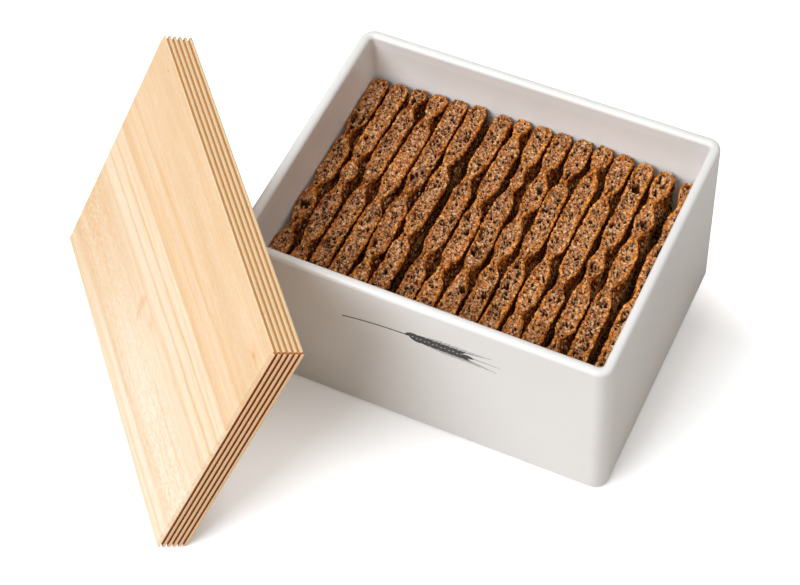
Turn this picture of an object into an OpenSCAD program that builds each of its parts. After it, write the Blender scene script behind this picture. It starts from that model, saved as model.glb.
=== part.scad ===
// A crispbread box: a glazed ceramic box filled with one row of upright slices, and its wooden lid.
// The lid stands on the table on one long edge and leans on the front left corner of the rim.
// The origin is the middle of the box's underside, the front is -Y and up is +Z.

/* [Crispbread] */
// Length of a slice, from front to back
slice_l = 124.4; // [90:0.1:150]
// Height of most slices, which stand on their long edges
slice_h = 65.5; // [45:0.5:90]
// Thickness of a slice at its lobes
slice_t = 9; // [7:0.1:12]
// Thickness that is left where the dents pinch a slice
waist_t = 3.2; // [2:0.1:6]
// Half length of a pinch, along the slice
waist_reach = 9.5; // [3:0.1:12]
// Part of a dent that is on the slice's right side
dent_share = 0.65; // [0.3:0.05:0.8]
// How far a slice winds to either side of its middle plane
wander = 0.3; // [0:0.05:0.5]
// Space between two slices that stand close
slice_gap = 1.3; // [1.2:0.1:3]
// Extra space where the row has come apart
loose_gap = 2.4; // [0:0.1:6]
// Space between the end slices and the walls
side_gap = 0.55; // [0.35:0.05:3]
// Space between a slice's ends and the walls
end_gap = 1.5; // [0.5:0.1:6]

/* [Box] */
// Wall thickness at the lip
wall = 5; // [4:0.1:8]
// Thickness of the floor
floor_t = 6; // [3:0.5:10]
// Height from the slices' tops to the rim
head_room = 25.5; // [12:0.5:40]
// Corner radius of the mouth, in plan
mouth_r = 2; // [1:0.1:6]
// Depth of the slightly wider mouth
mouth_depth = 7; // [6:0.1:10]
// How much the wall thickens below the mouth
mouth_step = 0.3; // [0.1:0.05:0.8]
// Rounding of both edges of the lip
lip_r = 2.2; // [0.8:0.1:3]
// Least width of the flat between those roundings
lip_flat = 0.4; // [0.2:0.1:2]
// Rounding of the outer bottom edge
base_r = 2; // [0.5:0.1:2.5]

/* [Lid] */
// How far the lid reaches past the box on each side
lid_overhang = 1.8; // [0.5:0.1:6]
// Ridges round the lid's edge
ridges = 6; // [4:1:9]
// Distance from one ridge to the next
ridge_pitch = 2.64; // [1.6:0.02:4]
// Width of the square grooves between the ridges
groove_w = 1.4; // [0.6:0.05:1.5]
// Depth of those grooves
groove_depth = 1.2; // [0.5:0.1:2.5]
// Thickness of the two outer ridges, at the lid's faces
outer_ridge = 1.7; // [1.4:0.1:3]
// Bevel from the upper of them to the lid's face
face_bevel = 1.2; // [0.4:0.1:1.3]
// Bevel from the lower of them to the lid's underside
back_bevel = 0.5; // [0.2:0.1:1.3]
// Depth of the panel that drops into the mouth
plug_depth = 5; // [2:0.1:6]
// Clearance between that panel and the mouth
plug_gap = 1.5; // [0.5:0.1:3]
// Corner radius of that panel
plug_r = 2; // [1:0.1:8]

/* [Leaning lid] */
// Turn of the lid's long edge from the box's front, in plan, in degrees
lid_turn = -46.6; // [-60:0.1:-30]
// Lean of the lid from upright, in degrees
lid_lean = 28.9; // [20:0.1:35]
// How far the lid's middle stands along its edge from the corner it leans on
lid_shift = -5.5; // [-30:0.1:30]
// Space left between the lid and the rim
lean_gap = 0.3; // [0.1:0.05:0.9]

/* [Hidden] */
$fn = 64;

// Where each slice is pinched, in mm from its middle, positive towards the back
waists = [
    [26, -8, -32], [12, -3, -40], [0, 52], [47, -4], [2, -39], [24, -20], [22, -27], [52, 9, -31],
    [34, 23, -28], [37, 9, -18], [37, -11], [47, -7, -39], [36, -16], [9, -8, -44], [42, 22, -8],
    [48, 27, -6],
];
slice_count = len(waists);
// How far each slice stands back from the middle of the box
stands_back = [-0.7, -0.2, 0.2, 0.6, 0.9, 1.1, 0.8, 1.1, 1.1, 1.1, 1.1, 1.1, 0.9, 0, -0.2, -1.1];
// How much taller than slice_h each slice is
extra_h = [0, 0, 0.2, 0.6, 1.2, 1.8, 1.2, 1.8, 1.8, 1.8, 1.8, 1.8, 1.2, 0.2, 0, -1.8];
// The row has come apart after these slices
loose_after = [6, 15];
// Stations along a slice's outline
stations = 40;
// A slice's rounded ends: their length and the part of the thickness left at the tip
end_reach = 3;
end_share = 0.6;

// Box, from the inside out
row_l = slice_count * slice_t + (slice_count - 1) * slice_gap + len(loose_after) * loose_gap;
side_t = wall + mouth_step;
box_w = row_l + 2 * side_gap + 2 * side_t;
box_d = slice_l + 2 * end_gap + 2 * side_t;
box_h = floor_t + slice_h + head_room;
corner_r = mouth_r + wall;
lip = min(lip_r, (wall - lip_flat) / 2);
foot_r = min(base_r, wall / 2);
// Centres of the rounded corners
corner_x = box_w / 2 - corner_r;
corner_y = box_d / 2 - corner_r;

// Lid
lid_w = box_w + 2 * lid_overhang;
lid_d = box_d + 2 * lid_overhang;
lid_t = 2 * outer_ridge + (ridges - 2) * ridge_pitch + groove_w;
plug_w = box_w - 2 * wall - 2 * plug_gap;
plug_d = box_d - 2 * wall - 2 * plug_gap;

// The lid leans towards lean_dir, and its standing edge runs along edge_dir
edge_dir = [cos(lid_turn), sin(lid_turn)];
lean_dir = [-sin(lid_turn), cos(lid_turn)];
rim_corner = [-corner_x, -corner_y];
// Farthest reach of the rim's rounded corner towards the lid, square to the lid
rim_reach = -cos(lid_lean) * (lean_dir * rim_corner) + sin(lid_lean) * (box_h - lip)
    + cos(lid_lean) * (corner_r - lip) + lip;
foot_out = (rim_reach + back_bevel + plug_depth + lean_gap) / cos(lid_lean);
lid_foot = edge_dir * (edge_dir * rim_corner + lid_shift) - lean_dir * foot_out;

function slice_name(i) = str("slice_", i < 9 ? "0" : "", i + 1);

// Wall section: x runs outwards from the centre of a rounded corner, y runs up
module wall_section() {
    polygon([
        [mouth_r - mouth_step, 0], [corner_r - foot_r, 0], [corner_r - foot_r, foot_r], [corner_r, foot_r],
        [corner_r, box_h - lip], [mouth_r, box_h - lip], [mouth_r, box_h - mouth_depth],
        [mouth_r - mouth_step, box_h - mouth_depth - mouth_step]
    ]);
    translate([corner_r - foot_r, foot_r]) circle(foot_r);
    for (x = [mouth_r + lip, corner_r - lip])
        translate([x, box_h - lip]) circle(lip);
    translate([mouth_r + lip, box_h - lip]) square([wall - 2 * lip, lip]);
}

// One straight wall of the given length, running along +X with its outside to the right of it
module straight_wall(length) {
    rotate([90, 0, 90]) linear_extrude(length) mirror([1, 0]) wall_section();
}

// Ceramic box: four straight walls, four rounded corners and a floor
module box() {
    color("ghostwhite") {
        for (turn = [0, 180]) rotate(turn) {
            translate([-corner_x, -corner_y, 0]) straight_wall(2 * corner_x);
            translate([corner_x, -corner_y, 0]) rotate(90) straight_wall(2 * corner_y);
            translate([corner_x, corner_y, 0]) rotate_extrude(angle = 90) wall_section();
            translate([-corner_x, corner_y, 0]) rotate(90) rotate_extrude(angle = 90) wall_section();
        }
        translate([wall - box_w / 2, wall - box_d / 2, 0])
            cube([box_w - 2 * wall, box_d - 2 * wall, floor_t]);
    }
}

// Places what is modelled lying on its underside, with its middle at the origin, as the leaning lid
module leaning() {
    translate([lid_foot[0], lid_foot[1], 0]) rotate([0, 0, lid_turn]) rotate([90 - lid_lean, 0, 0])
        translate([0, lid_d / 2, -back_bevel]) children();
}

// Section of the ridged board: square grooves between flat ridges on both edges
module ridged_section(width) {
    edge = [for (k = [0 : ridges - 2], corner = [[0, 0], [1, 0], [1, 1], [0, 1]])
        [width / 2 - corner[0] * groove_depth, outer_ridge + k * ridge_pitch + corner[1] * groove_w]];
    half = concat([[width / 2 - back_bevel, 0], [width / 2, back_bevel]], edge,
        [[width / 2, lid_t - face_bevel], [width / 2 - face_bevel, lid_t]]);
    last = len(half) - 1;
    polygon(concat(half, [for (k = [0 : last]) [-half[last - k][0], half[last - k][1]]]));
}

// Wooden lid, ridged round all four edges and mitred at the corners
module lid_board() {
    color("burlywood") leaning() intersection() {
        rotate([90, 0, 90]) linear_extrude(lid_w + 2 * ridge_pitch, center = true) ridged_section(lid_d);
        rotate([90, 0, 0]) linear_extrude(lid_d + 2 * ridge_pitch, center = true) ridged_section(lid_w);
    }
}

// Wooden panel under the lid, which fits the mouth
module lid_plug() {
    color("tan") leaning() translate([0, 0, -plug_depth]) linear_extrude(plug_depth) {
        square([plug_w - 2 * plug_r, plug_d], center = true);
        square([plug_w, plug_d - 2 * plug_r], center = true);
        for (x = [-1, 1], y = [-1, 1])
            translate([x * (plug_w / 2 - plug_r), y * (plug_d / 2 - plug_r)]) circle(plug_r);
    }
}

// Place of a slice's middle plane along the row
function slice_x(i) = -row_l / 2 + slice_t / 2 + i * (slice_t + slice_gap)
    + loose_gap * len([for (after = loose_after) if (i >= after) 1]);
// How strongly a slice is pinched at station s, from 0 to 1
function pinch(i, s) = max([for (w = waists[i])
    abs(s - w) < waist_reach ? (1 + cos(180 * (s - w) / waist_reach)) / 2 : 0]);
// How much of the thickness is left by the rounded ends at station s
function end_part(s) = let (past = max(0, abs(s) - slice_l / 2 + end_reach) / end_reach)
    end_share + (1 - end_share) * sqrt(1 - min(1, past * past));
// Distance of one face from the middle plane at station s; share is that face's part of the dents
function half_t(i, s, share) =
    min(slice_t / 2 * end_part(s), slice_t / 2 - share * (slice_t - waist_t) * pinch(i, s));
// Each slice winds with its own rhythm
function bow(i, s) = wander * sin(360 * s / (40 + 7 * (i % 5)) + 77 * i);

// One slice, a slab with a lobed outline that stands on the floor of the box
module slice(i) {
    places = [for (k = [0 : stations]) slice_l * (k / stations - 0.5)];
    right = [for (s = places) [bow(i, s) + half_t(i, s, dent_share), s]];
    left = [for (k = [stations : -1 : 0])
        let (s = places[k]) [bow(i, s) - half_t(i, s, 1 - dent_share), s]];
    color("peru") translate([slice_x(i), stands_back[i], floor_t]) linear_extrude(slice_h + extra_h[i])
        polygon(concat(right, left));
}

box();
lid_board();
lid_plug();
for (i = [0 : slice_count - 1])
    slice(i);
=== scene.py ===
"""A ceramic crispbread box, full of slices, with its ridged wooden lid leaning on the rim."""
import itertools
from math import cos, radians, sin

import bmesh
import bpy
import numpy as np
from mathutils import Matrix, Vector


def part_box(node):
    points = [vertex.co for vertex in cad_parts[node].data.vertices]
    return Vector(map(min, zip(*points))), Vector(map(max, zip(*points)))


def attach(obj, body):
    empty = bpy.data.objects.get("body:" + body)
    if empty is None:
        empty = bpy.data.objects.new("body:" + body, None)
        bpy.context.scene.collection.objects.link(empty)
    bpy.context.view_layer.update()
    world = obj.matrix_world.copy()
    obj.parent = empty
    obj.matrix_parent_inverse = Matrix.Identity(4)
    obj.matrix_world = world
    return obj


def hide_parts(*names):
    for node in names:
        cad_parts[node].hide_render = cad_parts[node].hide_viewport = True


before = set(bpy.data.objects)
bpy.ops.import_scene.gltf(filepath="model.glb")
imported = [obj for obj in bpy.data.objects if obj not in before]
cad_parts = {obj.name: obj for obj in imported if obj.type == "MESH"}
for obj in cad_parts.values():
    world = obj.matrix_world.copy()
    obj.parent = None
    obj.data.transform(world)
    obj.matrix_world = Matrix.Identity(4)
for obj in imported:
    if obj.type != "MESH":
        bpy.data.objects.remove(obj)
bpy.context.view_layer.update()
mm = 0.001


# Ceramic box
# Slip-cast stoneware under a satin white glaze. The walls are straight with rounded corners, the glaze has
# drawn the lip to a full round, and the mouth is a little wider than the rest for the panel under the lid.
box_low, box_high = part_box("box")
wall, floor_t = 5 * mm, 6 * mm
corner_r, lip_r, foot_r = 7 * mm, 2.2 * mm, 2 * mm
mouth_depth, mouth_step, mouth_slope = 6.6 * mm, 0.3 * mm, 0.8 * mm


class Flow:
    """A value on its way through a material: arithmetic adds Math nodes, and node() adds any other."""

    def __init__(self, tree, socket=None):
        self.tree, self.socket = tree, socket

    def fill(self, node, sockets):
        """Sets or links sockets of a node, each by its name or its place among those in use."""
        used = [socket for socket in node.inputs if socket.enabled]
        for key, value in sockets.items():
            socket = used[key] if isinstance(key, int) else next(s for s in used if s.name == key)
            if isinstance(value, Flow):
                self.tree.links.new(value.socket, socket)
            else:
                socket.default_value = value

    def node(self, kind, settings={}, sockets={}, output=None):
        """Adds a node and gives its named output, or its first."""
        made = self.tree.nodes.new("ShaderNode" + kind)
        for name, value in settings.items():
            setattr(made, name, value)
        self.fill(made, sockets)
        given = [socket for socket in made.outputs if socket.enabled]
        return Flow(self.tree, next((s for s in given if s.name == output), given[0]))

    def other(self, output):
        """Another output of the node that this value comes from."""
        return Flow(self.tree, self.socket.node.outputs[output])

    def maths(self, operation, *values):
        return self.node("Math", {"operation": operation}, dict(enumerate(values)))

    def __add__(self, other):
        return self.maths("ADD", self, other)

    def __sub__(self, other):
        return self.maths("SUBTRACT", self, other)

    def __rsub__(self, other):
        return self.maths("SUBTRACT", other, self)

    def __mul__(self, other):
        return self.maths("MULTIPLY", self, other)

    __radd__, __rmul__ = __add__, __mul__

    def rise(self, low, high):
        """Goes smoothly from 0 at low to 1 at high."""
        return self.node("MapRange", {"interpolation_type": "SMOOTHSTEP"},
                         {"Value": self, "From Min": low, "From Max": high})

    def fall(self, high, low):
        """Goes smoothly from 1 at high to 0 at low, where high is the smaller number."""
        return 1 - self.rise(high, low)

    def blend(self, first, second):
        """Goes from one colour to another as this value goes from 0 to 1."""
        return self.node("Mix", {"data_type": "RGBA"}, {"Factor": self, "A": first, "B": second})

    def noise(self, scale, detail=2.0, roughness=0.5):
        """Cloudy noise on these coordinates, about 0.5 on average."""
        return self.node("TexNoise", {}, {"Vector": self, "Scale": scale, "Detail": detail,
                                          "Roughness": roughness})

    def stretched(self, x, y, z):
        """These coordinates, scaled along each axis."""
        return self.node("VectorMath", {"operation": "MULTIPLY"}, {0: self, 1: (x, y, z)})

    def bump(self, distance, strength=1.0, under=None):
        """A normal that takes this value as a height."""
        sockets = {"Height": self, "Distance": distance, "Strength": strength}
        if under:
            sockets["Normal"] = under
        return self.node("Bump", {}, sockets)


def tint(red, green, blue):
    """A colour as it looks on screen, made linear."""
    parts = [part / 255 for part in (red, green, blue)]
    return [part / 12.92 if part < 0.04045 else ((part + 0.055) / 1.055) ** 2.4 for part in parts] + [1.0]


def new_finish(name):
    """A new material, with a Flow to start its expressions from."""
    material = bpy.data.materials.new(name)
    material.use_nodes = True
    return material, Flow(material.node_tree)


def surface(start, sockets):
    """Gives a material's shader its sockets."""
    start.fill(start.tree.nodes["Principled BSDF"], sockets)


def pick(piece, kind, test):
    """Selects the edges or faces of the piece being edited that pass a test."""
    bpy.ops.mesh.select_mode(type=kind.upper())
    bpy.ops.mesh.select_all(action="DESELECT")
    shape = bmesh.from_edit_mesh(piece.data)
    shape.normal_update()
    for part in (shape.edges if kind == "edge" else shape.faces):
        part.select_set(test(part))
    shape.select_flush_mode()
    bmesh.update_edit_mesh(piece.data)


def upright(edge):
    """Whether an edge stands straight up."""
    return (edge.verts[0].co - edge.verts[1].co).xy.length < 0.1 * mm


def start_piece(primitive, name, spans, middle=(0, 0, 0), **settings):
    """Adds one primitive, sized and placed in its mesh, and goes into edit mode."""
    bpy.ops.object.select_all(action="DESELECT")
    getattr(bpy.ops.mesh, primitive)(**({} if "radius" in settings else {"size": 1}), **settings)
    piece = bpy.context.object
    piece.name = name
    piece.location, piece.scale = middle, spans
    bpy.ops.object.transform_apply(location=True, rotation=True, scale=True)
    bpy.ops.object.mode_set(mode="EDIT")
    return piece


def end_piece(piece, material, rounding=0.0, place=None, weighted=True):
    """Leaves edit mode, puts the piece in its place, and rounds, shades and colours it."""
    bpy.ops.mesh.select_all(action="SELECT")
    bpy.ops.mesh.normals_make_consistent(inside=False)
    bpy.ops.object.mode_set(mode="OBJECT")
    if place:
        piece.matrix_world = place
        bpy.ops.object.transform_apply(location=True, rotation=True, scale=True)
    if rounding:
        bevel = piece.modifiers.new("rounded_edges", "BEVEL")
        bevel.width, bevel.segments = rounding, 2
        bevel.limit_method, bevel.angle_limit = "ANGLE", radians(30)
        bpy.ops.object.modifier_apply(modifier=bevel.name)
    bpy.ops.object.shade_smooth()
    if weighted:
        even = piece.modifiers.new("even_faces", "WEIGHTED_NORMAL")
        even.keep_sharp = True
        bpy.ops.object.modifier_apply(modifier=even.name)
    piece.data.materials.clear()
    piece.data.materials.append(material)


glaze, start = new_finish("satin_white_glaze")
spot = start.node("TexCoord", output="Object")
cloud = spot.noise(18, 3)
pinholes = spot.node("TexVoronoi", {}, {"Vector": spot, "Scale": 260, "Randomness": 1}).rise(0.10, 0.22)
rolling = spot.noise(26, 1)
surface(start, {
    "Base Color": cloud.rise(0.3, 0.7).blend(tint(231, 229, 226), tint(236, 234, 231)),
    "Roughness": 0.3 + 0.12 * cloud,
    "Coat Weight": 0.3,
    "Coat Roughness": 0.14,
    "Normal": rolling.bump(1.2 * mm, 0.25, pinholes.bump(0.05 * mm, 0.15)),
})

glazed_box = start_piece("primitive_cube_add", "glazed_box", box_high - box_low, (box_low + box_high) / 2)
pick(glazed_box, "edge", upright)
bpy.ops.mesh.bevel(offset=corner_r, segments=14, affect="EDGES")
pick(glazed_box, "face", lambda f: f.normal.z > 0.9)
bpy.ops.mesh.inset(thickness=wall)
bpy.ops.mesh.extrude_region_move(TRANSFORM_OT_translate={"value": (0, 0, -mouth_depth)})
bpy.ops.mesh.inset(thickness=mouth_step, depth=-mouth_slope)
inner_depth = box_high.z - box_low.z - mouth_depth - mouth_slope - floor_t
bpy.ops.mesh.extrude_region_move(TRANSFORM_OT_translate={"value": (0, 0, -inner_depth)})
# The lip and the foot are rounded last, where edges lie level at the very top and bottom
for height, radius, steps in ((box_high.z, lip_r, 8), (box_low.z, foot_r, 6)):
    pick(glazed_box, "edge", lambda e: e.calc_face_angle(0) > 1
         and all(abs(v.co.z - height) < 0.01 * mm for v in e.verts))
    bpy.ops.mesh.bevel(offset=radius, segments=steps, affect="EDGES", clamp_overlap=True)
end_piece(glazed_box, glaze)
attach(glazed_box, "box")
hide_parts("box")


# Printed ear
# A plain ear of rye in dark grey ceramic colour, printed on the middle of the front wall and fired into the
# glaze. The print stands proud of the glaze by a few hundredths of a millimetre.
print_t, ear_middle = 0.05 * mm, Vector((1.5 * mm, box_low.y, 74 * mm))
kernels, kernel_pitch, first_kernel, kernel_out = 15, 1.95 * mm, -4 * mm, 1.55 * mm
kernel_l, kernel_w, kernel_turn = 3.1 * mm, 1.25 * mm, radians(24)
awn_l, awn_w, awn_start, awn_spread, awn_turn = 13 * mm, 0.34 * mm, 2.6 * mm, 0.3, radians(11)
stalk_l, stalk_w, stalk_end, stalk_bend = 33 * mm, 0.7 * mm, 5 * mm, 3.5 * mm
ink, start = new_finish("dark_grey_print")
spot = start.node("TexCoord", output="Object")
worn = spot.noise(420, 3, 0.6)
surface(start, {
    "Base Color": worn.rise(0.3, 0.7).blend(tint(44, 43, 42), tint(62, 60, 58)),
    "Roughness": 0.42 + 0.15 * worn,
    "Normal": worn.bump(0.03 * mm, 0.2),
})

# One pointed kernel, one tapering awn and one bent stalk, drawn flat
kernel = start_piece("primitive_circle_add", "kernel", (kernel_l, kernel_w, 1), radius=1, vertices=18,
                     fill_type="NGON")
for vertex in bmesh.from_edit_mesh(kernel.data).verts:
    vertex.co.y *= 1 - 0.6 * max(0, vertex.co.x / kernel_l) ** 2
bpy.ops.object.mode_set(mode="OBJECT")
awn = start_piece("primitive_plane_add", "awn", (awn_l, awn_w, 1), (awn_l / 2, 0, 0))
for vertex in bmesh.from_edit_mesh(awn.data).verts:
    vertex.co.y *= 0.3 if vertex.co.x > awn_l / 2 else 1
bpy.ops.object.mode_set(mode="OBJECT")
stalk = start_piece("primitive_grid_add", "stalk", (stalk_l, stalk_w, 1), (-stalk_end - stalk_l / 2, 0, 0),
                    x_subdivisions=16, y_subdivisions=1)
for vertex in bmesh.from_edit_mesh(stalk.data).verts:
    vertex.co.y -= stalk_bend * ((vertex.co.x + stalk_end) / stalk_l) ** 2
bpy.ops.object.mode_set(mode="OBJECT")
# Kernels sit on alternate sides, each with its awn, and the last one ends the ear
marks = [stalk]
for step in range(kernels):
    side = (-1) ** step if step < kernels - 1 else 0
    for shape, reach, slant in ((kernel, 0, kernel_turn), (awn, awn_start, awn_turn)):
        place = Matrix.Translation((first_kernel + kernel_pitch * step + reach,
                                    side * (kernel_out + awn_spread * reach), 0))
        mark = shape.copy()
        mark.data = shape.data.copy()
        mark.matrix_world = place @ Matrix.Rotation(slant * side, 4, "Z")
        bpy.context.collection.objects.link(mark)
        marks.append(mark)
bpy.data.objects.remove(kernel)
bpy.data.objects.remove(awn)
bpy.ops.object.select_all(action="DESELECT")
for mark in marks:
    mark.select_set(True)
bpy.context.view_layer.objects.active = stalk
bpy.ops.object.join()
stalk.name = "printed_ear"
bpy.ops.object.mode_set(mode="EDIT")
bpy.ops.mesh.select_all(action="SELECT")
bpy.ops.mesh.extrude_region_move(TRANSFORM_OT_translate={"value": (0, 0, print_t)})
on_wall = Matrix.Translation(ear_middle) @ Matrix.Rotation(radians(90), 4, "X")
end_piece(stalk, ink, place=on_wall, weighted=False)
bpy.ops.object.shade_flat()
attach(stalk, "box")


# Lid board
# A thick board of pale, oiled wood with its grain along the long side. Five square grooves are cut round
# all four edges and leave six flat ridges, mitred at the corners. The lid leans on the rim.
ridges, ridge_pitch, groove_w, groove_depth = 6, 2.64 * mm, 1.4 * mm, 1.2 * mm
outer_ridge, face_bevel, back_bevel, edge_ease = 1.7 * mm, 1.2 * mm, 0.5 * mm, 0.12 * mm
lid_overhang = 1.8 * mm
lid_turn, lid_lean = radians(-46.6), radians(28.9)
board_low, board_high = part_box("lid_board")
lid_w, lid_d = (side + 2 * lid_overhang for side in (box_high - box_low).xy)
lid_t = 2 * outer_ridge + (ridges - 2) * ridge_pitch + groove_w
leaning = Matrix.Rotation(lid_turn, 4, "Z") @ Matrix.Rotation(radians(90) - lid_lean, 4, "X")
board_place = Matrix.Translation((board_low + board_high) / 2) @ leaning
# The middle of the node's box is halfway between the outer ridges' far edges
underside = -(lid_t + back_bevel - face_bevel) / 2

wood, start = new_finish("oiled_pale_wood")
grain = start.node("Mapping", {"vector_type": "TEXTURE"}, {
    "Vector": start.node("TexCoord", output="Object"),
    "Location": board_place.to_translation(), "Rotation": board_place.to_euler()})
along = start.node("SeparateXYZ", {}, {"Vector": grain})
sideways, through = along.other("Y"), along.other("Z")
sway = grain.stretched(14, 11, 11).noise(1, 2, 0.4)
flow = sideways - 0.031 * along + (sway - 0.5) * (5 * mm)
tone = grain.stretched(5, 42, 42).noise(1, 3, 0.6)
fibres = grain.stretched(75, 900, 900).noise(1, 3, 0.65)
streaks = grain.stretched(9, 330, 330).noise(1, 2, 0.6)
flecks = grain.stretched(420, 1050, 1050).noise(1, 2, 0.55)
plain = tone.rise(0.3, 0.7).blend(tint(222, 188, 148), tint(233, 205, 171))
plain = (sideways.fall(-66 * mm, 30 * mm) * along.rise(-110 * mm, 40 * mm) * 0.85).blend(
    plain, tint(242, 231, 211))
pale_band = flow.rise(-14 * mm, -8 * mm) * flow.fall(14 * mm, 17 * mm)
plain = (pale_band * 0.6 + flow.fall(-62 * mm, -57 * mm) * 0.5).blend(plain, tint(240, 223, 197))
plain = (streaks.rise(0.42, 0.72) * 0.36).blend(plain, tint(224, 178, 120))
# Growth rings, each at its place across the board: it darkens slowly from above and ends in a wavering line
waver = grain.stretched(34, 190, 190).noise(1, 2, 0.6) - 0.5
rings = ((62, 9, 0.12), (48, 6, 0.1), (33, 5, 0.36), (25, 5, 0.15), (16, 9, 0.32), (5.5, 2.6, 0.52),
         (-3.2, 2.6, 0.5), (-13, 5, 0.2), (-57, 13, 0.24), (-66, 4, 0.2))
for ring, reach, strength in rings:
    above = flow - ring * mm + (fibres - 0.5) * (1.6 * mm) + waver * (2.4 * mm)
    plain = (above.rise(-0.5 * mm, 0.3 * mm) * above.fall(0.3 * mm, reach * mm) * strength
             * (0.25 + 1.5 * tone)).blend(plain, tint(212, 157, 90))
plain = (fibres.rise(0.45, 0.8) * 0.28).blend(plain, tint(214, 162, 98))
# Pale and dark flecks, thickest in one band near the standing edge
mottled = sideways.rise(-60 * mm, -50 * mm) * sideways.fall(-34 * mm, -16 * mm)
mottled = mottled * (0.4 + 0.6 * along.rise(0, 50 * mm) + 0.6 * along.fall(-90 * mm, -50 * mm))
plain = (flecks.rise(0.5, 0.7) * (0.08 + 0.3 * mottled)).blend(plain, tint(222, 164, 88))
plain = (flecks.fall(0.34, 0.47) * (0.1 + 0.3 * mottled)).blend(plain, tint(248, 238, 216))
# Knots and stains, each with its place, length, width and strength
knots = ((82, 58, 1.7, 1.0, 0.75), (82, 58, 9, 6, 0.2), (-74.5, 66, 1.2, 0.6, 0.5), (-7, -20, 2.6, 9, 0.34),
         (10, -16, 6, 3, 0.28))
for knot_x, knot_y, length, width, strength in knots:
    near = start.node("VectorMath", {"operation": "LENGTH"}, {
        0: start.node("CombineXYZ", {}, {
            "X": (along - knot_x * mm) * (1 / length / mm) + 1.6 * (flecks - 0.5) + 6 * waver,
            "Y": (sideways - knot_y * mm) * (1 / width / mm)})}, "Value")
    plain = (near.fall(0.1, 1.3) * strength).blend(plain, tint(218, 136, 44))
# The cut edges, in painted light and shade: the ridges and the grooves along the long sides are painted
# lighter, and the grooves in the end grain are painted dark brown, most of all at the near end
cut_edge = start.maths("ABSOLUTE", through).fall(lid_t / 2 - 0.9 * mm, lid_t / 2 - 0.5 * mm)
in_side = lid_d / 2 - start.maths("ABSOLUTE", sideways)
in_end = lid_w / 2 - start.maths("ABSOLUTE", along)
# Painted light on the ridges' flats and in the grooves along the long sides
painted_light_crest_side, painted_light_crest_end = (depth.fall(0.1 * mm, 0.3 * mm) * cut_edge for depth in (in_side, in_end))
painted_light_groove_side, painted_shade_groove_end = (depth.rise(0.2 * mm, 0.6 * mm) * depth.fall(1.3 * mm, 1.6 * mm) * cut_edge
                           for depth in (in_side, in_end))
plain = painted_light_crest_side.blend(plain, tint(255, 226, 182))
plain = (painted_light_groove_side * 0.7).blend(plain, tint(240, 190, 118))
plain = painted_light_crest_end.blend(plain, tint(255, 214, 164))
# Painted shade in the end grain's grooves, strongest towards the near end
painted_groove_shade = painted_shade_groove_end * (0.25 + 0.65 * along.rise(-60 * mm, 60 * mm))
surface(start, {
    "Base Color": painted_groove_shade.blend(plain, tint(168, 82, 4)),
    "Roughness": 0.5 + 0.18 * fibres,
    "Specular IOR Level": 0.3,
    "Normal": (fibres - 0.3 * flecks).bump(0.1 * mm, 0.2),
})

board = start_piece("primitive_plane_add", "lid_ridged_board",
                    (lid_w - 2 * back_bevel, lid_d - 2 * back_bevel, 1), (0, 0, underside))
# Each step pulls the top up by a rise and draws it in to an inset from the lid's outline
steps = [(back_bevel, 0), (outer_ridge - back_bevel, 0)]
steps += [(0, groove_depth), (groove_w, groove_depth), (0, 0), (ridge_pitch - groove_w, 0)] * (ridges - 1)
steps[-1] = (outer_ridge - face_bevel, 0)
steps.append((face_bevel, face_bevel))
inset = back_bevel
for rise, new_inset in steps:
    bpy.ops.mesh.extrude_region_move(TRANSFORM_OT_translate={"value": (0, 0, rise)})
    growth = [(side - 2 * new_inset) / (side - 2 * inset) for side in (lid_w, lid_d)]
    bpy.ops.transform.resize(value=(*growth, 1), center_override=(0, 0, 0))
    inset = new_inset
end_piece(board, wood, edge_ease, board_place)
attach(board, "lid")
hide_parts("lid_board")


# Panel under the lid
# A thin board of the same wood, glued under the lid. It drops into the mouth and keeps the lid from
# sliding, so its corners follow the mouth and its lower edge is eased.
plug_gap, plug_depth, plug_r, plug_ease = 1.5 * mm, 5 * mm, 2 * mm, 0.8 * mm
plug_low, plug_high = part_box("lid_plug")
plug_w, plug_d = (side - 2 * (wall + plug_gap) for side in (box_high - box_low).xy)
panel = start_piece("primitive_cube_add", "lid_panel", (plug_w, plug_d, plug_depth))
pick(panel, "edge", upright)
bpy.ops.mesh.bevel(offset=plug_r, segments=6, affect="EDGES")
pick(panel, "edge", lambda e: e.calc_face_angle(0) > 1 and all(v.co.z < 0 for v in e.verts))
bpy.ops.mesh.bevel(offset=plug_ease, segments=3, affect="EDGES")
end_piece(panel, wood, place=Matrix.Translation((plug_low + plug_high) / 2) @ leaning)
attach(panel, "lid")
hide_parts("lid_plug")


# Crispbread
# Sixteen slices of rye crispbread stand on their long edges in one row. A docking roller has pinched the
# dough on both sides, so the cut top shows lobes: a baked orange crust round a pale crumb full of holes.
# The slices' sizes are in millimetres
slice_l, slice_h, slice_t = 124.4, 65.5, 9.0
across, lengthways, rows, row_growth = 40, 520, 18, 1.9
end_reach, end_share = 3.0, 0.6
dent_depths, dent_reach, dent_height = {1: 3.8, -1: 2.0}, 6.5, 6.0
dent_pitch, dent_row, dent_rows, outline_reach = 22, 17.5, (1, 2, 3), 5
# Each slice takes its noise from a place of its own, this far from the one before
noise_step = 37


def shuffle(cells, seed):
    """A fixed number from 0 to 1 for each cell of a lattice."""
    mixed = np.sin(cells @ np.array([127.1, 311.7, 74.7]) + 53.3 * seed) * 43758.5453
    return mixed - np.floor(mixed)


def ripple(points, seed):
    """Smooth noise from -1 to 1 on a lattice of unit cells."""
    base = np.floor(points)
    part = points - base
    part = part * part * (3 - 2 * part)
    total = 0
    for corner in itertools.product((0, 1), repeat=3):
        weight = np.prod(np.where(corner, part, 1 - part), axis=1)
        total = total + weight * shuffle(base + corner, seed)
    return 2 * total - 1


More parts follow.
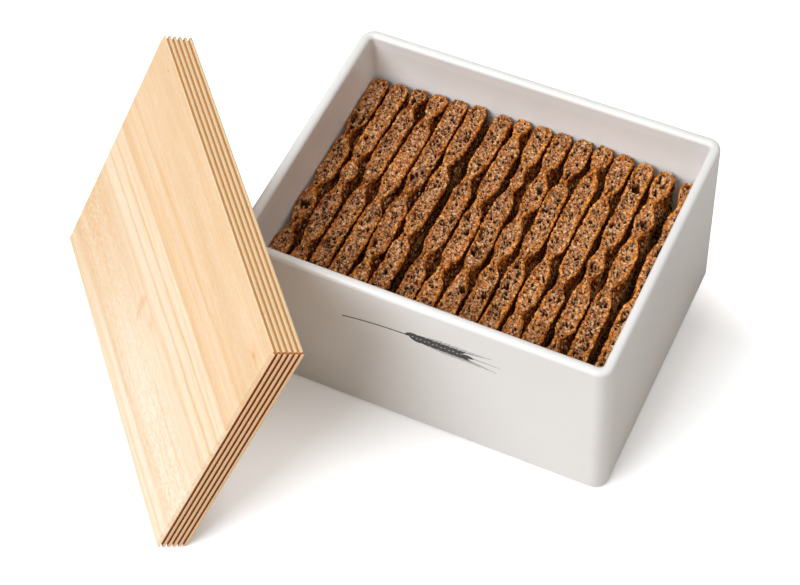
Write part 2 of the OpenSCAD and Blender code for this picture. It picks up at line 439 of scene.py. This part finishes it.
def bubbles(points, seed):
    """How far inside a bubble of a foam each point is, that bubble's number, and how far its middle is."""
    base = np.floor(points)
    near = np.full(len(points), 9.0)
    second, own = near.copy(), np.zeros(len(points))
    for step in itertools.product((-1, 0, 1), repeat=3):
        cell = base + step
        middle = cell + np.stack([shuffle(cell, seed + k) for k in (1, 2, 3)], axis=1)
        distance = np.linalg.norm(points - middle, axis=1)
        closer = distance < near
        second = np.where(closer, near, np.minimum(second, distance))
        own = np.where(closer, shuffle(cell, seed + 4), own)
        near = np.where(closer, distance, near)
    return second - near, own, near


def smooth(value, low, high):
    """Goes smoothly from 0 at low to 1 at high."""
    part = np.clip((value - low) / (high - low), 0, 1)
    return part * part * (3 - 2 * part)


bread, start = new_finish("rye_crispbread")
spot = start.node("TexCoord", output="Object")
crumb, painted_pit_shade, painted_light_web, under = (start.node("Attribute", {"attribute_name": layer}, output="Fac")
                          for layer in ("crumb", "painted_pit_shade", "painted_light_web", "under"))
grit = spot.noise(1300, 3, 0.65)
patch, batch = spot.noise(150, 3, 0.6), spot.stretched(110, 26, 26).noise(1, 1)
# Thin threads: painted light on the crumb, and a part of its bumps
threads = start.maths("ABSOLUTE", spot.noise(500, 1) - 0.5).fall(0.012, 0.07)
grains = spot.node("TexVoronoi", {}, {"Vector": spot, "Scale": 760, "Randomness": 1})
tone = grains.other("Color").rise(0.28, 0.72)
flakes = grains.other("Color").rise(0.71, 0.76)
# Painted shade in the cracks between the grains
painted_grain_shade = grains.rise(0.45, 0.7)
# The shade changes from grain to grain, from patch to patch and from slice to slice
# Painted light: the row is paler towards its right end, for the shade that the lid and the left wall cast
# on its left end
painted_light_along_row = start.node("SeparateXYZ", {}, {"Vector": spot}).rise(-0.05, 0.06)
shade = 0.5 * tone + 0.3 * patch.rise(0.35, 0.65) + 0.3 * batch.rise(0.3, 0.7) + 0.18 * painted_light_along_row - 0.01
# Browned crust, with pale specks, painted highlights on its grit, and painted shade in the cracks between
# its grains
crust = shade.blend(tint(142, 54, 4), tint(248, 160, 70))
crust = (flakes * 0.5 + grit.rise(0.52, 0.66) * 0.4).blend(crust, tint(250, 204, 142))
crust = (painted_grain_shade * 0.6).blend(crust, tint(66, 16, 0))
# Crumb, with pale flakes, painted light on the webs between its holes and on its threads, dark specks, and
# painted shade between its grains
inside = shade.blend(tint(130, 42, 2), tint(240, 150, 72))
inside = (painted_light_web * 0.45 + threads * 0.28 + flakes * 0.4).blend(inside, tint(255, 217, 168))
inside = (grit.fall(0.38, 0.5) * 0.55 + painted_grain_shade * 0.45).blend(inside, tint(78, 20, 0))
# Flanks, with painted shade just below the cut top, where the slices face each other across narrow gaps,
# dusty with flour further down, and painted shade between their grains
dusty = shade.blend(tint(132, 80, 32), tint(236, 186, 118))
flank = under.rise(1, 2).blend(shade.blend(tint(68, 20, 0), tint(170, 90, 30)), dusty)
flank = (flakes * (0.4 + 0.3 * under.rise(1, 2))).blend(flank, tint(255, 226, 180))
flank = (painted_grain_shade * 0.9).blend(flank, tint(28, 7, 0))
colour = crumb.blend(under.blend(crust, flank), inside)
# Painted shade darkens the holes in the crumb
surface(start, {
    "Base Color": (painted_pit_shade * 0.94).blend(colour, tint(44, 7, 0)),
    "Roughness": 0.82,
    "Specular IOR Level": 0.04,
    "Normal": (0.6 * grit + 0.3 * threads - 0.9 * grains).bump(0.5 * mm, 0.7),
})

# The slab that every slice starts from: a fine grid, pulled up row by row from the bottom to the cut top
slab = start_piece("primitive_grid_add", "slab", (slice_t * mm, slice_l * mm, 1),
                   x_subdivisions=across, y_subdivisions=lengthways)
depths = [slice_h * (k / rows) ** row_growth for k in range(rows, -1, -1)]
for lower, upper in zip(depths, depths[1:]):
    bpy.ops.mesh.extrude_region_move(TRANSFORM_OT_translate={"value": (0, 0, (lower - upper) * mm)})
pick(slab, "face", lambda f: all(v.co.z < 0.01 * mm for v in f.verts))
bpy.ops.mesh.dissolve_faces()
end_piece(slab, bread, weighted=False)
lattice = np.empty(len(slab.data.vertices) * 3)
slab.data.vertices.foreach_get("co", lattice)
lattice = lattice.reshape(-1, 3) / mm
place_across = lattice[:, 0] / (slice_t / 2)
place_along = lattice[:, 1]
depth = slice_h - lattice[:, 2]
at_top = depth < 1e-3
on_flank = np.abs(np.abs(place_across) - 1) < 1e-3
on_end = np.abs(np.abs(place_along) - slice_l / 2) < 1e-2
on_top = at_top & ~on_flank & ~on_end
past = np.clip((np.abs(place_along) - slice_l / 2 + end_reach) / end_reach, 0, 1)
full = slice_t / 2 * (end_share + (1 - end_share) * np.sqrt(1 - past * past))
fade = np.exp(-(depth / outline_reach) ** 2)

slice_names = sorted(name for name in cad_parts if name.startswith("slice_"))
for number, name in enumerate(slice_names):
    low, high = (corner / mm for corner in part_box(name))
    middle, back = (low.x + high.x) / 2, (low.y + high.y) / 2
    cut = np.array([vertex.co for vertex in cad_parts[name].data.vertices]) / mm
    cut = cut[cut[:, 2] > high.z - 0.01] - np.array([0, back, 0])
    stations = np.unique(cut[:, 1].round(3))
    at = np.stack([place_across * slice_t / 2 + noise_step * number, place_along, depth], axis=1)

    # Each face: the cut outline at the top, fading into a slab with rows of staggered dents further down
    faces = {}
    for side in (-1, 1):
        stray = place_along + 1.5 * (1 - past) * ripple(at * np.array([0, 0.23, 0.1]), 3 + side)
        outline = []
        for station in stations:
            here = cut[np.abs(cut[:, 1] - station) < 2e-3][:, 0]
            outline.append(side * (side * here).max() - middle)
        face = full.copy()
        for row in dent_rows:
            phase = dent_pitch / 2 * (row % 2) + dent_pitch * shuffle(np.array([[number, row, 0]]), 5)[0]
            off = (stray - phase + dent_pitch / 2) % dent_pitch - dent_pitch / 2
            away = np.hypot(off / dent_reach, (depth - dent_row * row) / dent_height)
            face = np.minimum(face, slice_t / 2 - dent_depths[side] * (1 - smooth(away, 0.1, 1.0)))
        face = face * (1 - fade) + side * np.interp(stray, stations, outline) * fade
        # Waves, lumps and grains of the crust, and here and there a lost flake
        _, own, grain = bubbles(at * np.array([0.5, 0.68, 0.66]), 7 + side)
        relief = 0.25 * (1 + ripple(at * np.array([0.1, 0.12, 0.13]), 11 + side))
        relief += 0.22 * (1 + ripple(at * np.array([0.3, 0.42, 0.36]), 13 + side))
        relief += 0.14 * (1 + ripple(at * np.array([0.5, 0.95, 0.8]), 15 + side))
        relief += 0.28 * smooth(grain, 0.2, 0.8) + 0.4 * (own > 0.85)
        faces[side] = face + 0.65 - relief
    x = -faces[-1] + (place_across + 1) / 2 * (faces[1] + faces[-1])
    tip = 0.7 * place_across ** 2
    tip += 0.4 * (1 + ripple(at * np.array([0.4, 1, 0.3]), 17))
    tip += 0.35 * (1 + ripple(at * np.array([1.1, 1, 0.9]), 18))
    y = place_along - np.where(on_end, np.sign(place_along) * tip, 0)

    # The cut top: a ragged crust of about a millimetre, and the crumb inside it, sunk and full of holes
    flat = np.stack([x + noise_step * number, y, 0 * x], axis=1)
    level = flat[on_top]
    inward = np.minimum(x + faces[-1], faces[1] - x)
    inward = np.minimum(inward, slice_l / 2 - np.abs(place_along))[on_top]
    soft_part = smooth(inward + 0.6 * ripple(level * 0.4, 19) + 0.5 * ripple(level * 1.1, 20), 0.8, 1.7)
    warp = np.stack([ripple(level * 0.7, seed) for seed in (23, 24, 25)], axis=1) * 0.35
    inside_hole, own, _ = bubbles(level * np.array([0.62, 0.48, 1]) + warp, 31)
    open_hole = smooth(own, 0.46, 0.62)
    hole = smooth(inside_hole, 0.08, 0.24)
    inside_cave, cave_own, _ = bubbles(level * np.array([0.24, 0.16, 1]) + 0.5 * warp, 41)
    cave = smooth(inside_cave, 0.22, 0.4) * (cave_own > 0.8)
    inside_prick, prick_own, _ = bubbles(level * 1.2 + warp, 51)
    prick = smooth(inside_prick, 0.1, 0.4) * (prick_own > 0.45)
    sunk = soft_part * (0.45 + hole * (0.3 + 1.7 * open_hole) + 0.4 * prick + 3 * cave)
    sunk = sunk + 0.6 * (1 - np.clip(inward / 0.7, 0, 1)) ** 2
    lowered = 0.6 * at_top
    lowered[on_top] = sunk
    rough = 0.3 * ripple(flat * 0.6, 61) + 0.2 * ripple(flat * 1.7, 62)
    rough += 0.5 * (0.5 - smooth(bubbles(flat * 0.75, 64)[2], 0.15, 0.75))
    uneven = 0.5 * ripple(flat * np.array([0.1, 0.11, 1]), 63) - 0.5
    z = high.z - depth - lowered + rough * at_top + uneven * np.exp(-(depth / 6) ** 2)
    z = np.where(depth > slice_h - 0.01, low.z, z)

    # The slice itself, with what its material reads: crumb or crust, the holes' painted shade, the webs'
    # painted light, and depth
    piece = slab.copy()
    piece.data = slab.data.copy()
    piece.name = "crispbread_" + name[-2:]
    bpy.context.collection.objects.link(piece)
    piece.data.vertices.foreach_set("co", (np.stack([x + middle, y + back, z], axis=1) * mm).ravel())
    for layer, values in (("crumb", soft_part), ("painted_light_web", 1 - smooth(inside_hole, 0.04, 0.2)),
                          ("painted_pit_shade", soft_part * np.clip(hole * open_hole + 0.28 * prick + cave, 0, 1))):
        spread = np.zeros(len(x), dtype=np.float32)
        spread[on_top] = values
        piece.data.attributes.new(layer, "FLOAT", "POINT").data.foreach_set("value", spread)
    # Depth below the cut top, which sets where the flanks' crust, painted shade and floury part lie
    ragged = depth + 0.8 * ripple(at * 0.4, 71)
    below = np.where(on_top, 0, smooth(ragged, 0.6, 2.2) + smooth(ragged, 4.5, 9)).astype(np.float32)
    piece.data.attributes.new("under", "FLOAT", "POINT").data.foreach_set("value", below)
    piece.data.update()
    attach(piece, name)
    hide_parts(name)
bpy.data.objects.remove(slab)


# Table top
# A plain white sheet of paper. Where the camera sees it, it glows: painted light makes it white behind the
# object, and painted shade makes it darker towards what stands on it. The light that it throws back on to
# the object is that of a slightly darker, warmer paper.
white, black = (1, 1, 1, 1), (0, 0, 0, 1)
sheet_glow = 0.38
# How far the lid's standing edge is from the middle of the box, square to that edge
lid_foot = 0.169


def seen_rays(start):
    """1 for what the camera sees, also by way of gloss and glass, and 0 for other light."""
    rays = start.node("LightPath", output="Is Camera Ray")
    for output in ("Is Glossy Ray", "Is Transmission Ray"):
        rays = start.maths("MAXIMUM", rays, start.node("LightPath", output=output))
    return rays


sheet = start_piece("primitive_plane_add", "table_top", (9, 9, 1), (0, 0, -0.1 * mm))
bpy.ops.mesh.subdivide(number_cuts=3)
paper, start = new_finish("white_sheet")
rays, camera_ray = seen_rays(start), start.node("LightPath", output="Is Camera Ray")
floor_spot = start.node("SeparateXYZ", {}, {"Vector": start.node("TexCoord", output="Object")})
sideways, backwards = floor_spot, floor_spot.other("Y")
# Painted light: behind the box, and to the left and right of it, the sheet glows white over the shadows
# there
painted_light_behind = (0.45 * backwards - 0.9 * sideways).rise(0.105, 0.14)
for clear in (backwards.rise(0.1, 0.14), backwards.rise(0.03, 0.08) * sideways.rise(0.05, 0.075)):
    painted_light_behind = start.maths("MAXIMUM", painted_light_behind, clear)
outside = start.node("CombineXYZ", {}, {
    "X": start.maths("MAXIMUM", start.maths("ABSOLUTE", sideways) - box_high.x, 0),
    "Y": start.maths("MAXIMUM", start.maths("ABSOLUTE", backwards) - box_high.y, 0)})
from_box = start.node("VectorMath", {"operation": "LENGTH"}, {0: outside}, "Value")
from_lid = backwards * cos(lid_turn) - sideways * sin(lid_turn) + lid_foot
lid_side = sideways.fall(-0.04, 0.09)
# Painted shade: the sheet's glow is lowered round the box, most of all on the lid's side, close to its
# foot, and under the lid
painted_shade_near_box = from_box.fall(0, 0.06) * (0.1 + 0.14 * lid_side)
painted_shade_at_foot = from_box.fall(0.004, 0.016) * 0.07 * (1 - lid_side)
painted_shade_under_lid = from_lid.rise(-0.004, 0.004) * from_lid.fall(0, 0.03) * 0.2
level = sheet_glow - painted_shade_near_box - painted_shade_at_foot - painted_shade_under_lid
# The camera sees the sheet glow at its level, lowered by the painted shade and raised to white by the
# painted light
surface(start, {
    "Base Color": rays.blend(tint(206, 198, 190), white),
    "Roughness": 1.0,
    "Specular IOR Level": 0.0,
    "Emission Strength": 1.0,
    "Emission Color": (camera_ray * (level + (1 - level) * painted_light_behind)).blend(black, white),
})
end_piece(sheet, paper, weighted=False)


# Studio light
# One large soft box in front on the left, a weaker one overhead, and an even room, which is white where the
# camera sees it and a little warm where it lights the object.
room_level, warm_room = 0.38, (1, 0.935, 0.875, 1)
room = bpy.data.worlds.new("studio_room")
bpy.context.scene.world = room
room.use_nodes = True
air = Flow(room.node_tree)
rays = seen_rays(air)
air.fill(room.node_tree.nodes["Background"], {
    "Color": rays.blend(warm_room, white), "Strength": rays * (1 - room_level) + room_level})


def soft_box(name, place, aim, size, power, colour):
    """A square soft box at a place, turned to what it lights."""
    lamp = bpy.data.lights.new(name, "AREA")
    lamp.shape, lamp.size, lamp.energy, lamp.color = "SQUARE", size, power, colour
    holder = bpy.data.objects.new(name, lamp)
    holder.location = place
    holder.rotation_euler = (Vector(aim) - Vector(place)).to_track_quat("-Z", "Y").to_euler()
    bpy.context.collection.objects.link(holder)


soft_box("front_soft_box", (-0.76, -1.36, 1.62), (0, 0, 0.05), 1.4, 38.5, (0.94, 0.985, 1.04))
soft_box("top_soft_box", (-0.34, 0.06, 2.02), (0, 0, 0.05), 1.2, 9, (0.97, 0.99, 1.0))


# Camera
# A long lens that stands high in front of the box on its right. Its angles and distance are those at which
# the straight edges of the box and lid fall as they do in the photograph.
azimuth, elevation, roll = radians(30.18), radians(55.33), radians(5.67)
aim, distance, focal_length = Vector((-0.0306, -0.0265, 0.0348)), 0.9358, 89.87
lens = bpy.data.cameras.new("camera")
lens.sensor_fit, lens.sensor_width, lens.lens = "HORIZONTAL", 36, focal_length
camera = bpy.data.objects.new("camera", lens)
turn = Matrix.Rotation(azimuth, 4, "Z") @ Matrix.Rotation(radians(90) - elevation, 4, "X")
turn = turn @ Matrix.Rotation(-roll, 4, "Z")
camera.matrix_world = Matrix.Translation(aim + turn @ Vector((0, 0, distance))) @ turn
bpy.context.collection.objects.link(camera)
bpy.context.scene.camera = camera
bpy.context.scene.view_settings.view_transform = "Standard"
